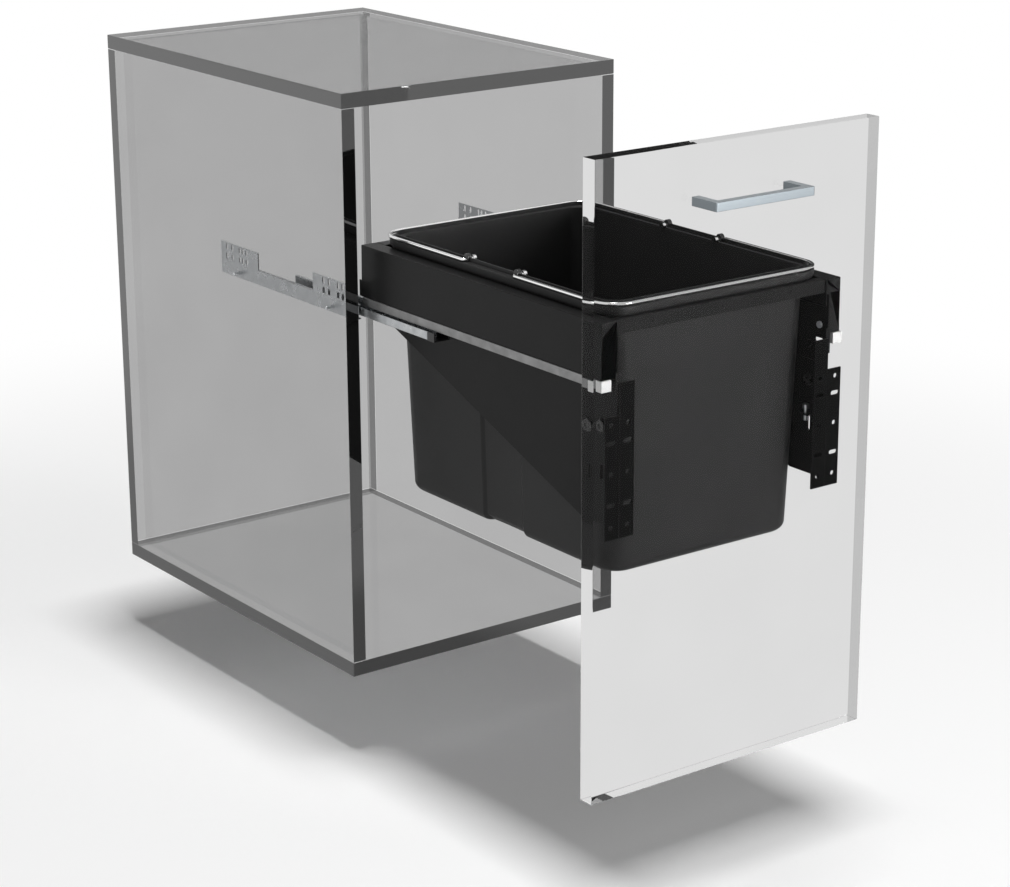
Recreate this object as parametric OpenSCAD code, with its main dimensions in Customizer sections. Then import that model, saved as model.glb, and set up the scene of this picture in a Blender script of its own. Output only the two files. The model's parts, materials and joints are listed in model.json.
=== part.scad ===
// Pull-out waste bin in a see-through base cabinet, drawn with the drawer fully out.
// Millimetres. The origin is the centre of the cabinet's underside, +Z is up and the front faces -Y.
// Drawer parts are laid out as they lie with the drawer shut, then moved out by its travel.

/* [Cabinet] */
// Outside width of the cabinet
cabinet_w = 400; // [380:5:600]
// Outside depth of the cabinet
cabinet_d = 560; // [520:5:650]
// Outside height of the cabinet
cabinet_h = 720; // [690:5:900]
// Thickness of the cabinet's panels
panel_t = 18; // [15:0.5:22]

/* [Door] */
// Thickness of the clear front panel
door_t = 20; // [16:0.5:25]
// Gap between the shut door and the cabinet's front edges
door_gap = 2.2; // [2.1:0.1:3]
// How far the door stops short of the cabinet's sides
door_side_gap = 1.5; // [1:0.5:3]
// How far the door stops short of the cabinet's top and bottom
door_end_gap = 2; // [1:0.5:4]

/* [Handle] */
// Distance between the handle's two screws
handle_pitch = 128; // [96:16:224]
// Side of the handle's square bar
handle_bar = 10; // [9:0.5:14]
// How far the handle stands out from the door
handle_reach = 40; // [32:1:50]
// Distance from the door's top edge down to the middle of the handle
handle_drop = 60; // [20:1:100]
// Outer radius of the handle's two corners
handle_corner_r = 2; // [1:0.5:5]

/* [Runners] */
// Height of the runners' underside above the cabinet's base
runner_z = 449; // [430:1:500]
// How far the drawer comes out
drawer_travel = 447; // [400:1:460]
// Share of the drawer's travel that the middle rail makes
middle_share = 0.33; // [0.3:0.005:0.36]
// Steel thickness of the rail on the cabinet
cabinet_rail_t = 1.5; // [1.2:0.1:2]
// Height of the channel of the rail on the cabinet
cabinet_rail_h = 18; // [17:0.5:20]
// Width of the flanges of the rail on the cabinet
cabinet_rail_flange = 5.2; // [4.5:0.1:5.4]
// Length of the rail on the cabinet
cabinet_rail_len = 304; // [300:1:340]
// Steel thickness of the middle and drawer rails
slide_t = 1.2; // [1:0.1:1.4]
// Distance from the cabinet's side to the middle rail
middle_x = 6; // [5.9:0.1:7]
// Outside width of the middle rail
middle_w = 22; // [21.5:0.1:22.2]
// Height of the middle rail's walls
middle_h = 10; // [9.6:0.1:10.4]
// Width of the rib on the middle rail that stands inside the drawer rail
rib_w = 4; // [3.8:0.1:4.2]
// Length of the middle rail's steel
middle_len = 290; // [280:1:292]
// Length of the plastic stop on the middle rail's front end
middle_stop_len = 14; // [8:0.5:16]
// Outside width of the drawer rail
drawer_rail_w = 12; // [11.8:0.1:12.4]
// Height of the drawer rail's walls
drawer_rail_h = 10; // [9.6:0.1:10.4]
// Length of the drawer rail
drawer_rail_len = 451; // [440:1:452]
// Height of the runner from its underside to the drawer frame
runner_h = 25; // [24.8:0.1:25.6]
// Height that the rail's screw plates reach above its underside
plate_h = 40.7; // [39:0.1:46]
// Length of each screw plate
plate_len = 88; // [86:1:100]
// Width of the slots in the screw plates
plate_slot_w = 5; // [4:0.1:5.2]
// Height of the slots in the screw plates
plate_slot_h = 9; // [6:0.5:9]

/* [Ball cages] */
// Diameter of the balls beside the rail on the cabinet
outer_ball_d = 4; // [3.6:0.1:4]
// Diameter of the balls inside the drawer rail
inner_ball_d = 2.5; // [2.2:0.05:2.5]
// Sheet thickness of the cages
cage_t = 0.8; // [0.6:0.1:0.9]
// Length of the cage beside the rail on the cabinet
outer_cage_len = 130; // [110:1:132]
// Length of the cage inside the drawer rail
inner_cage_len = 130; // [110:1:134]
// Distance from one ball to the next
ball_pitch = 21; // [16:1:30]

/* [Bin frame] */
// Distance from the cabinet's side to the frame
frame_x = 12; // [11:0.5:14]
// Width of each frame side
frame_side_w = 21.7; // [21.3:0.1:23]
// Height of the frame sides
frame_h = 62.7; // [55:0.1:75]
// Length of the frame
frame_len = 453.8; // [452:0.2:456]
// Distance from the cabinet's front to the frame, drawer shut
frame_y = 3.6; // [3:0.1:5]
// Steel thickness of the frame
frame_t = 1.2; // [1:0.1:1.5]
// Height of the frame's front and rear rails
cross_h = 15.7; // [12:0.1:25]
// Depth of the front rail's top flange
front_flange = 10.2; // [9.7:0.1:14]
// Depth of the rear rail's top flange
rear_flange = 18.4; // [17:0.1:24]
// Distance from the frame's front end back to the front rail
front_rail_inset = 2.2; // [1.5:0.1:3]
// Height of the lip that takes the side bracket
lip_h = 31; // [26:1:40]
// Distance between the front rail's rivets
rivet_pitch = 98; // [60:1:120]

/* [Side brackets] */
// Steel thickness of the side brackets
bracket_t = 1.5; // [1.2:0.1:1.5]
// Steel thickness of the plates behind the door
plate_t = 2; // [1.5:0.1:2]
// Steel thickness of the door brackets' legs
leg_t = 1.8; // [1.4:0.1:2]
// How far the side bracket reaches up inside the frame
bracket_rise = 46; // [40:1:50]
// How far the side bracket reaches below the frame
bracket_drop = 169.5; // [160:0.5:185]
// Height of the side bracket's rear end below the frame
bracket_tail = 18; // [10:1:30]
// Length of the side bracket's lower edge
bracket_foot = 57; // [40:1:80]
// Outer edge of the plates behind the door, from the cabinet's side
plate_x = 13; // [12:0.5:14]
// Width across both plates behind the door
plate_w = 40; // [38:0.5:44]

/* [Adjusters] */
// Diameter of the tilt cams' heads
cam_d = 13; // [12:0.5:16]
// Diameter of the tilt cams' shafts
cam_shaft_d = 7.8; // [6:0.1:9]
// Diameter of the height screws' heads
height_head_d = 8; // [7.5:0.5:10]
// Diameter of the height screws' shanks
height_shank_d = 5; // [4:0.1:6]

/* [Bin] */
// How far the bin's rim reaches in over the frame's sides
rim_overlap = 4.7; // [3.5:0.1:6]
// Distance from the frame's front end back to the rim
rim_inset = 7.4; // [7.2:0.1:8]
// Distance from the frame's rear end forward to the rim
rim_rear_inset = 14.4; // [13.4:0.1:16.4]
// Outer corner radius of the rim
rim_corner_r = 30; // [26:1:40]
// Height of the rim's outer band
rim_band_h = 8.2; // [7:0.1:9]
// Height of the rim's top above the frame
rim_rise = 11.3; // [10.5:0.1:14]
// Width of the ledge between the rim's edge and the bin's wall
ledge_w = 10.8; // [10.5:0.1:12]
// Height of the lip that stands on the ledge
rim_lip_h = 5; // [3:0.5:5]
// Depth of the bin below its ledge
bin_depth = 310; // [250:1:320]
// How much each wall leans in from the ledge to the bottom
bin_lean = 9.3; // [4:0.1:14]
// Wall thickness of the bin
bin_wall = 2.5; // [2:0.1:3]
// Corner radius of the bin's walls
bin_corner_r = 25; // [18:1:40]
// Radius between the bin's walls and its bottom
bin_foot_r = 11; // [8:1:16]
// Width of the shallow recess in each long side
recess_w = 75; // [40:1:110]
// Depth of the shallow recess in each long side
recess_depth = 3; // [2:0.5:5]

/* [Bag wires] */
// Diameter of the bag wires
wire_d = 4; // [3.6:0.1:4.6]
// Distance from the rim's edge in to the wire's centre line
wire_inset = 1.5; // [1.4:0.1:1.6]
// Bend radius at the wires' outer corners
wire_corner_r = 28; // [20:1:34]
// Bend radius where the wires turn into their clips
wire_end_r = 3.2; // [3:0.1:4]
// Distance between the hinges of the front and rear wires
hinge_pitch = 95; // [40:1:140]
// How far the hinges' middle lies behind the middle of the bin
hinge_shift = 1.5; // [-10:0.5:10]
// Diameter of the caps on the wires' ends
wire_cap_d = 8; // [6.5:0.1:9]

/* [Screws and clearances] */
// Shank diameter of the rail and handle screws
screw_d = 4; // [3:0.1:4.5]
// Gap between a turning or sliding piece and its neighbour
running_gap = 0.3; // [0.25:0.05:0.3]
// Radial clearance of a shaft in its hole
shaft_gap = 0.08; // [0.03:0.01:0.1]

/* [Hidden] */
$fn = 64;
eps = 0.5;

side_x = -cabinet_w / 2 + panel_t;
front_y = -cabinet_d / 2;
inner_w = cabinet_w - 2 * panel_t;
middle_travel = middle_share * drawer_travel;

// Door and handle
door_w = cabinet_w - 2 * door_side_gap;
door_h = cabinet_h - 2 * door_end_gap;
handle_z = door_end_gap + door_h - handle_drop;
handle_screw_reach = 12;
handle_head_t = 2.2;

// Rail on the cabinet
cabinet_rail_y = 3;
screw_row_z = cabinet_rail_h / 2 - 1.8;
screw_ys = [49, 262];
front_plate_y = 5;
rear_plate_y = cabinet_rail_y + cabinet_rail_len - plate_len;
front_slot_ys = [27, 37, 57, 69];
rear_slot_ys = [27, 36, 43, 61, 74];
slot_edge = 5.7;
slot_pitch = 12;
slot_rows = [plate_h - slot_edge - slot_pitch, plate_h - slot_edge];
csk_d = 2 * screw_d - 1;

// Middle and drawer rails
middle_z = 3.5;
rib_x = middle_x + (middle_w - rib_w) / 2;
stop_y = 0.4;
middle_y = stop_y + middle_stop_len;
stop_grow = 0.3;
drawer_rail_y = 4;
drawer_rail_x = middle_x + (middle_w - drawer_rail_w) / 2;
cap_wall = 0.6;
cap_len = 10;
cap_h = 12.5;
cap_front = 3;

// Ball cages
outer_ball_x = (cabinet_rail_t + middle_x) / 2;
outer_ball_rows = [6, 11.2];
outer_cage_y = 6 + outer_cage_len / 2;
inner_ball_gap = (drawer_rail_w - 2 * slide_t - rib_w) / 4;
inner_ball_rows = [17.3, 20.9];
inner_cage_y = -62;
cage_top = runner_h - slide_t - running_gap;
cage_bottom = runner_h - drawer_rail_h + running_gap;
rib_top = cage_top - cage_t - running_gap;
pocket_gap = 0.15;

// Frame
frame_z = runner_z + runner_h;
frame_top = frame_z + frame_h;
opening_half = inner_w / 2 - frame_x - frame_side_w;
front_rail_y = frame_y + front_rail_inset;
rivet_head_d = 5.2;
rivet_head_h = 1.2;
rivet_d = 3;
rear_hook = 5;
rear_hook_h = 20;

// Side brackets: bracket_x is the outer face of the upright plate
bracket_x = frame_x + frame_side_w - frame_t - bracket_t;
inner_face_x = bracket_x + bracket_t;
plate_back_y = -door_gap + plate_t;
bracket_end_y = frame_y + frame_len;
cam_yz = [27, -58];
guide_slot_yz = [26, -109];
guide_slot = [18, 5];
cap_slot_yz = [14, -9];
cap_slot = [13, 5];
bright_bolt_yz = [13, 9];
dark_bolt_yz = [30, -16];
bolt_d = 4;
bolt_head_d = 8;
bolt_head_t = 2.2;
nut_t = 2;
lug_r = 6;
plate_top = -40;
door_plate_top = -4;
plate_bottom = bracket_drop + 8.5;
plate_columns = [8, plate_w - 9];
plate_hole_d = 5.5;
plate_hole_zs = [-49, -104, -164];
plate_slot_zs = [-69, -139];
door_slot = [12, 5];
plate_split = 0.3;
leg_len = 42;
leg_top = -34;
leg_bottom = -124;
tab_z = [-22, 7];
tab_t = 1.5;
tab_gap = 0.6;
tab_x = middle_x + middle_w + stop_grow + tab_gap;
tab_end_x = inner_face_x + 2.7;
ear_y = [19, 33];
ear_z = -98;
ear_t = 2;
height_head_z = ear_z + 7;
height_head_t = 5;
height_shank_end = ear_z - 7;
height_x = inner_face_x + leg_t + running_gap + height_head_d / 2;
height_y = (ear_y[0] + ear_y[1]) / 2;
ear_reach = height_head_d + 0.7;

// Cams
cam_t = 2;
cam_tip = 2.5;
cam_socket_d = 6;
cam_socket_depth = 1;

// Bin
rim_half_w = opening_half + rim_overlap;
rim_len = frame_len - rim_inset - rim_rear_inset;
rim_y = frame_y + rim_inset + rim_len / 2;
rim_top = frame_top + rim_rise;
foot_inset = 2.5;
rim_size = [2 * rim_half_w, rim_len];
rim_t = 2.5;
foot_t = 2;
lip_inset = 7;
rim_lip_t = 2;
slice = 0.5;
body_size = rim_size - 2 * [ledge_w, ledge_w];
bin_bottom = rim_top - bin_depth;
wall_slope = bin_lean / bin_depth;
recess_h = 0.74 * bin_depth;
notch_h = 8;
notch_depth = 7;

// Bag wires and clips
wire_z = rim_top + running_gap + wire_d / 2;
wire_half_w = rim_half_w - wire_inset;
wire_far = rim_len / 2 - 2;
clip_w = 9;
clip_h = 9;
clip_len = 5.7;
clip_x = wire_half_w - wire_end_r - 0.2;
wire_cap_len = 4;
wire_cap_x = rim_half_w - ledge_w - bin_wall - eps;
hinge_y = hinge_shift;

// ---- Placing helpers

// Y from the cabinet's front edge
module in_cabinet() translate([0, front_y, 0]) children();

// Moved out by a share of the drawer's travel
module moved_out(share) translate([0, front_y - share * drawer_travel, 0]) children();

// X inwards from the inner face of the left side panel
module left() translate([side_x, 0, 0]) children();
module right() mirror([1, 0, 0]) left() children();

module block(low, high) translate(low) cube(high - low);
module bar(low, high) translate(low) square(high - low);

// A profile in X and Z, drawn out along Y
module along_y(from, to) translate([0, to, 0]) rotate([90, 0, 0]) linear_extrude(to - from) children();

// A profile in Y and Z, drawn out along X
module along_x(from, to) translate([from, 0, 0]) rotate([90, 0, 90]) linear_extrude(to - from) children();

module slot(length, w) {
    square([length - w, w], center = true);
    for (end = [-1, 1]) translate([end * (length - w) / 2, 0]) circle(d = w);
}

module upright_slot(length, w) rotate(90) slot(length, w);

module rounded_rect(size, r) {
    square([size[0] - 2 * r, size[1]], center = true);
    square([size[0], size[1] - 2 * r], center = true);
    for (sx = [-1, 1], sy = [-1, 1])
        translate([sx * (size[0] / 2 - r), sy * (size[1] / 2 - r)]) circle(r);
}

// ---- Cabinet

module side_panel() {
    color([0.62, 0.62, 0.62, 0.5])
    difference() {
        block([-panel_t, 0, panel_t], [0, cabinet_d - panel_t, cabinet_h - panel_t]);
        for (y = screw_ys)
            translate([-panel_t + 4, y, runner_z + screw_row_z]) rotate([0, 90, 0])
                cylinder(d = screw_d + 2 * shaft_gap, h = panel_t);
    }
}

module left_side_panel() in_cabinet() left() side_panel();
module right_side_panel() in_cabinet() right() side_panel();

module flat_panel(z) {
    color([0.6, 0.6, 0.6, 0.5])
    in_cabinet() block([-cabinet_w / 2, 0, z], [cabinet_w / 2, cabinet_d, z + panel_t]);
}

module top_panel() flat_panel(cabinet_h - panel_t);
module bottom_panel() flat_panel(0);

module back_panel() {
    color([0.68, 0.68, 0.68, 0.5])
    in_cabinet() block([-cabinet_w / 2, cabinet_d - panel_t, panel_t],
        [cabinet_w / 2, cabinet_d, cabinet_h - panel_t]);
}

// ---- Runners

module cabinet_rail() {
    color("silver")
    translate([0, 0, runner_z])
    difference() {
        union() {
            along_y(cabinet_rail_y, cabinet_rail_y + cabinet_rail_len) {
                bar([0, 0], [cabinet_rail_t, cabinet_rail_h]);
                for (z = [0, cabinet_rail_h - cabinet_rail_t])
                    bar([0, z], [cabinet_rail_flange, z + cabinet_rail_t]);
            }
            for (y = [front_plate_y, rear_plate_y])
                block([0, y, cabinet_rail_h - eps], [cabinet_rail_t, y + plate_len, plate_h]);
        }
        along_x(-eps, cabinet_rail_t + eps) {
            for (y = front_slot_ys, z = slot_rows)
                translate([y, z]) upright_slot(plate_slot_h, plate_slot_w);
            for (y = rear_slot_ys, z = slot_rows)
                translate([rear_plate_y + y, z]) upright_slot(plate_slot_h, plate_slot_w);
        }
        for (y = screw_ys) translate([0, y, screw_row_z]) countersink(shaft_gap);
    }
}

// Room for a countersunk head in the rail's web, or the head itself when there is no gap
module countersink(gap) {
    rotate([0, 90, 0])
        cylinder(r1 = screw_d / 2 + gap, r2 = csk_d / 2 + gap, h = cabinet_rail_t);
}

module left_cabinet_rail() in_cabinet() left() cabinet_rail();
module right_cabinet_rail() in_cabinet() right() cabinet_rail();

module side_rail_screws() {
    for (y = screw_ys) translate([0, y, runner_z + screw_row_z]) {
        countersink(0);
        translate([-panel_t + 5, 0, 0]) rotate([0, 90, 0]) cylinder(d = screw_d, h = panel_t - 5);
    }
}

module rail_screws() {
    color("gainsboro")
    in_cabinet() {
        left() side_rail_screws();
        right() side_rail_screws();
    }
}

module middle_profile(grow) {
    low = [middle_x - grow, middle_z - grow];
    wall = slide_t + 2 * grow;
    top = middle_z + middle_h;
    bar(low, [low[0] + wall, top]);
    bar([middle_x + middle_w + grow - wall, low[1]], [middle_x + middle_w + grow, top]);
    bar(low, [middle_x + middle_w + grow, low[1] + wall]);
}

// The rib is folded up from the floor of the rail
module rib_profile() {
    difference() {
        bar([rib_x, middle_z], [rib_x + rib_w, rib_top]);
        bar([rib_x + slide_t, middle_z - eps], [rib_x + rib_w - slide_t, rib_top - slide_t]);
    }
}

module middle_rail() {
    color("silver")
    translate([0, 0, runner_z]) along_y(middle_y, middle_y + middle_len) {
        difference() {
            middle_profile(0);
            bar([rib_x + slide_t, middle_z - eps], [rib_x + rib_w - slide_t, middle_z + 2 * slide_t]);
        }
        rib_profile();
    }
}

module middle_stop() {
    color([0.08, 0.08, 0.08])
    translate([0, 0, runner_z]) along_y(stop_y, middle_y) middle_profile(stop_grow);
}

module left_middle_rail() moved_out(middle_share) left() middle_rail();
module right_middle_rail() moved_out(middle_share) right() middle_rail();
module left_middle_stop() moved_out(middle_share) left() middle_stop();
module right_middle_stop() moved_out(middle_share) right() middle_stop();

module drawer_rail() {
    color([0.54, 0.54, 0.5])
    translate([drawer_rail_x, 0, frame_z - drawer_rail_h])
    along_y(drawer_rail_y, drawer_rail_y + drawer_rail_len) {
        bar([0, drawer_rail_h - slide_t], [drawer_rail_w, drawer_rail_h]);
        bar([0, 0], [slide_t, drawer_rail_h]);
        bar([drawer_rail_w - slide_t, 0], [drawer_rail_w, drawer_rail_h]);
    }
}

module rail_cap() {
    color("whitesmoke")
    translate([drawer_rail_x - cap_wall, drawer_rail_y - cap_front, frame_z - cap_h])
    difference() {
        block([0, 0, 0], [drawer_rail_w + 2 * cap_wall, cap_len, cap_h]);
        block([cap_wall, cap_front, -eps], [cap_wall + drawer_rail_w, cap_len + eps, cap_h + eps]);
    }
}

module left_drawer_rail() moved_out(1) left() drawer_rail();
module right_drawer_rail() moved_out(1) right() drawer_rail();
module left_rail_cap() moved_out(1) left() rail_cap();
module right_rail_cap() moved_out(1) right() rail_cap();

// ---- Ball cages: Y is measured from the cabinet's front as the drawer stands open

// Ball centres along a cage, spread evenly about its middle
function ball_ys(len, middle) =
    let (n = floor((len - 10) / ball_pitch))
    [for (i = [0:n]) middle + (i - n / 2) * ball_pitch];

module ball_row(ys, rows, x, d) {
    for (y = ys, z = rows) translate([x, y, z]) sphere(d = d);
}

module pocket_row(ys, rows, d) {
    for (y = ys, z = rows) translate([y, z]) circle(d = d + 2 * pocket_gap);
}

module outer_cage() {
    color("gray")
    translate([0, 0, runner_z]) along_x(outer_ball_x - cage_t / 2, outer_ball_x + cage_t / 2)
    difference() {
        bar([outer_cage_y - outer_cage_len / 2, cabinet_rail_t + running_gap],
            [outer_cage_y + outer_cage_len / 2, cabinet_rail_h - cabinet_rail_t - running_gap]);
        pocket_row(ball_ys(outer_cage_len, outer_cage_y), outer_ball_rows, outer_ball_d);
    }
}

module outer_balls() {
    color("gainsboro")
    translate([0, 0, runner_z])
        ball_row(ball_ys(outer_cage_len, outer_cage_y), outer_ball_rows, outer_ball_x, outer_ball_d);
}

module inner_cage() {
    span = rib_w + 2 * inner_ball_gap;
    color("gray")
    translate([rib_x - inner_ball_gap, 0, runner_z])
    difference() {
        along_y(inner_cage_y - inner_cage_len / 2, inner_cage_y + inner_cage_len / 2) {
            bar([-cage_t / 2, cage_top - cage_t], [span + cage_t / 2, cage_top]);
            for (x = [0, span]) bar([x - cage_t / 2, cage_bottom], [x + cage_t / 2, cage_top]);
        }
        along_x(-cage_t, span + cage_t)
            pocket_row(ball_ys(inner_cage_len, inner_cage_y), inner_ball_rows, inner_ball_d);
    }
}

module inner_balls() {
    color("gainsboro")
    translate([0, 0, runner_z])
    for (x = [rib_x - inner_ball_gap, rib_x + rib_w + inner_ball_gap])
        ball_row(ball_ys(inner_cage_len, inner_cage_y), inner_ball_rows, x, inner_ball_d);
}

module left_outer_cage() in_cabinet() left() outer_cage();
module right_outer_cage() in_cabinet() right() outer_cage();
module left_outer_balls() in_cabinet() left() outer_balls();
module right_outer_balls() in_cabinet() right() outer_balls();
module left_inner_cage() in_cabinet() left() inner_cage();
module right_inner_cage() in_cabinet() right() inner_cage();
module left_inner_balls() in_cabinet() left() inner_balls();
module right_inner_balls() in_cabinet() right() inner_balls();

// ---- Frame that carries the bin

module frame_side() {
    end_y = frame_y + frame_len;
    color([0.15, 0.15, 0.15])
    translate([0, 0, frame_z]) {
        along_y(frame_y, end_y) {
            bar([frame_x, 0], [frame_x + frame_t, frame_h]);
            bar([frame_x, 0], [bracket_x, frame_t]);
            bar([frame_x, frame_h - frame_t], [frame_x + frame_side_w, frame_h]);
            bar([inner_face_x, frame_h - lip_h], [inner_face_x + frame_t, frame_h]);
        }
        block([frame_x, frame_y, frame_h - cross_h], [bracket_x, frame_y + frame_t, frame_h]);
        block([frame_x, end_y - frame_t, 0], [bracket_x, end_y, frame_h]);
        block([frame_x, end_y - eps, 0], [frame_x + frame_t, end_y + rear_hook, rear_hook_h]);
    }
}

module left_frame_side() moved_out(1) left() frame_side();
module right_frame_side() moved_out(1) right() frame_side();

module frame_front_rail() {
    color([0.15, 0.15, 0.15])
    moved_out(1)
    difference() {
        translate([0, front_rail_y, frame_top]) {
            block([-opening_half, 0, -cross_h], [opening_half, frame_t, 0]);
            block([-opening_half, 0, -frame_t], [opening_half, front_flange, 0]);
        }
        rivet_places() cylinder(d = rivet_d + 2 * shaft_gap, h = 10, center = true);
    }
}

module frame_rear_rail() {
    color([0.15, 0.15, 0.15])
    moved_out(1) translate([0, frame_y + frame_len, frame_top]) {
        block([-opening_half, -frame_t, -cross_h], [opening_half, 0, 0]);
        block([-opening_half, -rear_flange, -frame_t], [opening_half, 0, 0]);
    }
}

module rivet_places() {
    for (i = [-1:1])
        translate([i * rivet_pitch, front_rail_y, frame_top - cross_h / 2]) rotate([90, 0, 0]) children();
}

module frame_rivets() {
    color("dimgray")
    moved_out(1) rivet_places() {
        cylinder(d1 = rivet_head_d, d2 = rivet_d, h = rivet_head_h);
        translate([0, 0, -frame_t - eps]) cylinder(d = rivet_d, h = frame_t + 2 * eps);
        translate([0, 0, -frame_t - 1]) cylinder(d = rivet_head_d - 1, h = 1);
    }
}

// ---- Side brackets and door brackets

module plate_holes(column) {
    for (z = plate_hole_zs) translate([plate_x + column, z]) circle(d = plate_hole_d);
    for (z = plate_slot_zs) translate([plate_x + column, z]) slot(door_slot[0], door_slot[1]);
}

module side_bracket() {
    color([0.14, 0.14, 0.14])
    translate([0, 0, frame_z]) {
        along_x(bracket_x, inner_face_x)
        difference() {
            union() {
                polygon([[plate_back_y, bracket_rise], [bracket_end_y, bracket_rise],
                    [bracket_end_y, -bracket_tail], [bracket_foot, -bracket_drop],
                    [plate_back_y, -bracket_drop]]);
                translate([plate_back_y + lug_r, -bracket_drop]) circle(lug_r);
            }
            translate(cam_yz) circle(d = cam_shaft_d + 2 * shaft_gap);
            translate(guide_slot_yz) upright_slot(guide_slot[0], guide_slot[1]);
            translate(cap_slot_yz) slot(cap_slot[0], cap_slot[1]);
            for (place = [bright_bolt_yz, dark_bolt_yz])
                translate(place) circle(d = bolt_d + 2 * shaft_gap);
        }
        along_y(-door_gap, plate_back_y)
        difference() {
            bar([plate_x, -plate_bottom], [inner_face_x - plate_split, plate_top]);
            plate_holes(plate_columns[0]);
        }
        block([bracket_x, -door_gap, -bracket_drop],
            [inner_face_x - plate_split, plate_back_y + eps, plate_top]);
        block([tab_x, plate_back_y, tab_z[0]], [tab_end_x, plate_back_y + tab_t, tab_z[1]]);
    }
}

module left_side_bracket() moved_out(1) left() side_bracket();
module right_side_bracket() moved_out(1) right() side_bracket();

module door_bracket() {
    color([0.16, 0.16, 0.16])
    translate([0, 0, frame_z])
    difference() {
        union() {
            along_y(-door_gap, plate_back_y)
                bar([inner_face_x, -plate_bottom], [plate_x + plate_w, door_plate_top]);
            block([inner_face_x, -door_gap, leg_bottom], [inner_face_x + leg_t, leg_len, leg_top]);
            block([inner_face_x, ear_y[0], ear_z],
                [inner_face_x + leg_t + ear_reach, ear_y[1], ear_z + ear_t]);
        }
        along_y(-door_gap - eps, plate_back_y + eps) plate_holes(plate_columns[1]);
        along_x(bracket_x, inner_face_x + leg_t + eps) {
            translate(cam_yz) circle(d = cam_shaft_d + 2 * shaft_gap);
            translate(guide_slot_yz) upright_slot(guide_slot[0], guide_slot[1]);
        }
        translate([height_x, height_y, ear_z - eps])
            cylinder(d = height_shank_d + 2 * shaft_gap, h = ear_t + 2 * eps);
    }
}

module left_door_bracket() moved_out(1) left() door_bracket();
module right_door_bracket() moved_out(1) right() door_bracket();

module bolt(place) {
    translate([inner_face_x, place[0], frame_z + place[1]]) rotate([0, 90, 0]) {
        cylinder(d = bolt_head_d, h = bolt_head_t);
        translate([0, 0, -bracket_t - nut_t]) cylinder(d = bolt_d, h = bracket_t + nut_t + eps);
        translate([0, 0, -bracket_t - nut_t]) cylinder(d = bolt_head_d - 1, h = nut_t, $fn = 6);
    }
}

module bracket_bolts() {
    color("gainsboro")
    moved_out(1) {
        left() bolt(bright_bolt_yz);
        right() bolt(bright_bolt_yz);
    }
}

module frame_bolts() {
    color([0.1, 0.1, 0.1])
    moved_out(1) {
        left() bolt(dark_bolt_yz);
        right() bolt(dark_bolt_yz);
    }
}

// ---- Adjusters

module cam_head() {
    circle(d = cam_d);
    polygon([[-cam_tip, cam_d / 2 - 1], [cam_tip, cam_d / 2 - 1], [0, cam_d / 2 + cam_tip]]);
}

module tilt_cam() {
    out_x = bracket_x - running_gap - cam_t;
    in_x = inner_face_x + leg_t + running_gap;
    color("silver")
    translate([0, cam_yz[0], frame_z + cam_yz[1]])
    difference() {
        union() {
            along_x(out_x, out_x + cam_t) cam_head();
            along_x(in_x, in_x + cam_t) cam_head();
            along_x(out_x, in_x + cam_t) circle(d = cam_shaft_d);
        }
        for (x = [out_x - eps, in_x + cam_t - cam_socket_depth])
            along_x(x, x + cam_socket_depth + eps) circle(d = cam_socket_d);
    }
}

module left_tilt_cam() moved_out(1) left() tilt_cam();
module right_tilt_cam() moved_out(1) right() tilt_cam();

module height_screw() {
    color("silver")
    translate([height_x, height_y, frame_z])
    difference() {
        union() {
            translate([0, 0, height_head_z]) cylinder(d = height_head_d, h = height_head_t);
            translate([0, 0, height_shank_end])
                cylinder(d = height_shank_d, h = height_head_z - height_shank_end + eps);
        }
        for (turn = [0, 90])
            translate([0, 0, height_head_z + height_head_t]) rotate(turn)
                cube([height_head_d / 2, 1.2, 3], center = true);
    }
}

module left_height_screw() moved_out(1) left() height_screw();
module right_height_screw() moved_out(1) right() height_screw();

// ---- Door and handle

module handle_places() {
    for (side = [-1, 1])
        translate([side * handle_pitch / 2, -door_gap, handle_z]) rotate([90, 0, 0]) children();
}

module door_panel() {
    color([0.87, 0.87, 0.87, 0.35])
    moved_out(1)
    difference() {
        block([-door_w / 2, -door_gap - door_t, door_end_gap],
            [door_w / 2, -door_gap, door_end_gap + door_h]);
        handle_places() translate([0, 0, -eps]) cylinder(d = screw_d + 0.4, h = door_t + 2 * eps);
    }
}

module handle() {
    half = (handle_pitch + handle_bar) / 2;
    color([0.76, 0.8, 0.82])
    moved_out(1)
    difference() {
        translate([0, -door_gap - door_t, handle_z - handle_bar / 2]) linear_extrude(handle_bar)
        difference() {
            union() {
                bar([-half, -handle_reach + handle_corner_r], [half, 0]);
                bar([-half + handle_corner_r, -handle_reach], [half - handle_corner_r, 0]);
                for (side = [-1, 1])
                    translate([side * (half - handle_corner_r), -handle_reach + handle_corner_r])
                        circle(handle_corner_r);
            }
            bar([-half + handle_bar, -handle_reach + handle_bar], [half - handle_bar, eps]);
        }
        handle_places() translate([0, 0, door_t - eps])
            cylinder(d = screw_d + 2 * shaft_gap, h = handle_screw_reach + 2 * eps);
    }
}

module handle_screws() {
    color("gainsboro")
    moved_out(1) handle_places() {
        translate([0, 0, -handle_head_t]) cylinder(d = 2 * screw_d, h = handle_head_t);
        translate([0, 0, -eps]) cylinder(d = screw_d, h = door_t + handle_screw_reach + eps);
    }
}

// ---- Bin: X and Y from its middle

module in_bin() moved_out(1) translate([0, rim_y, 0]) children();

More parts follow.
